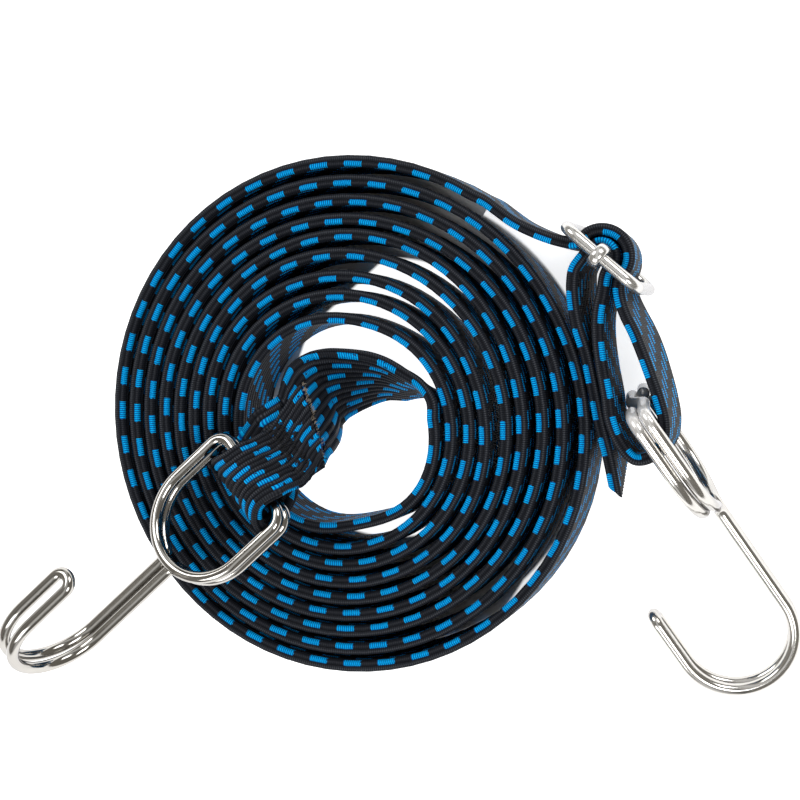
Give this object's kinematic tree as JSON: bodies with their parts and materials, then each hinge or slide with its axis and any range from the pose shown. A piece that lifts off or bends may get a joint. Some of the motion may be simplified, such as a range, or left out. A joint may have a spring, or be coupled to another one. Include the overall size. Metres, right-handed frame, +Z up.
{
  "type": "bungee cord",
  "caption": "Flat woven elastic luggage strap wound on edge into a coil, with a wire hook on each end and a wire slide that takes up its length.",
  "frame": {"origin": "under the middle of the whole strap's box, on the plane that the coil stands on", "axes": "+Z up, square to the coil; +X along the longest extent, from the sewn hook towards the slide and the adjustable hook"},
  "size_m": [0.2054, 0.1438, 0.0681],
  "materials": {
    "woven_band": "ribbed charcoal weave with blue dashes",
    "rubber_core": "matt pale latex",
    "sewing_thread": "dense black stitching",
    "plated_wire": "polished nickel plate"
  },
  "bodies": {
    "strap": {"strap_coil": "woven_band", "strap_lead": "woven_band", "strap_hook_loop": "woven_band", "strap_slide_turn": "woven_band", "strap_tail": "woven_band", "strap_sewn_eye": "woven_band", "rubber_strand_1": "rubber_core", "rubber_strand_2": "rubber_core", "rubber_strand_3": "rubber_core", "rubber_strand_4": "rubber_core", "rubber_strand_5": "rubber_core", "rubber_strand_6": "rubber_core", "rubber_strand_7": "rubber_core", "rubber_strand_8": "rubber_core", "rubber_strand_9": "rubber_core", "rubber_strand_10": "rubber_core", "rubber_strand_11": "rubber_core", "rubber_strand_12": "rubber_core", "rubber_strand_13": "rubber_core", "bar_tack_1": "sewing_thread", "bar_tack_2": "sewing_thread", "bar_tack_3": "sewing_thread"},
    "left_hook": {"hook_left": "plated_wire"},
    "right_hook": {"hook_right": "plated_wire"},
    "slide_pin": {"slide_bar": "plated_wire"},
    "slide_loop": {"slide_frame": "plated_wire"}
  },
  "joints": [
    {"name": "left_hook_swing", "type": "hinge", "parent": "strap", "child": "left_hook", "pos_m": [-0.03829, -0.01379, 0.03684], "axis": [-0.6419, 0.6847, -0.3452], "range_deg": [-8, 130]},
    {"name": "right_hook_swing", "type": "hinge", "parent": "strap", "child": "right_hook", "pos_m": [0.06137, 0.00617, 0.0227], "axis": [0.1245, -0.1874, 0.9744], "range_deg": [-28, 72]},
    {"name": "slide_rock", "type": "hinge", "parent": "strap", "child": "slide_pin", "pos_m": [0.05278, 0.04397, 0.0193], "axis": [0, 0, 1], "range_deg": [-3, 2]},
    {"name": "slide_run", "type": "slide", "parent": "slide_pin", "child": "slide_loop", "axis": [0.7581, -0.6521, 0], "range_m": [-0.0005, 0.0005]}
  ]
}
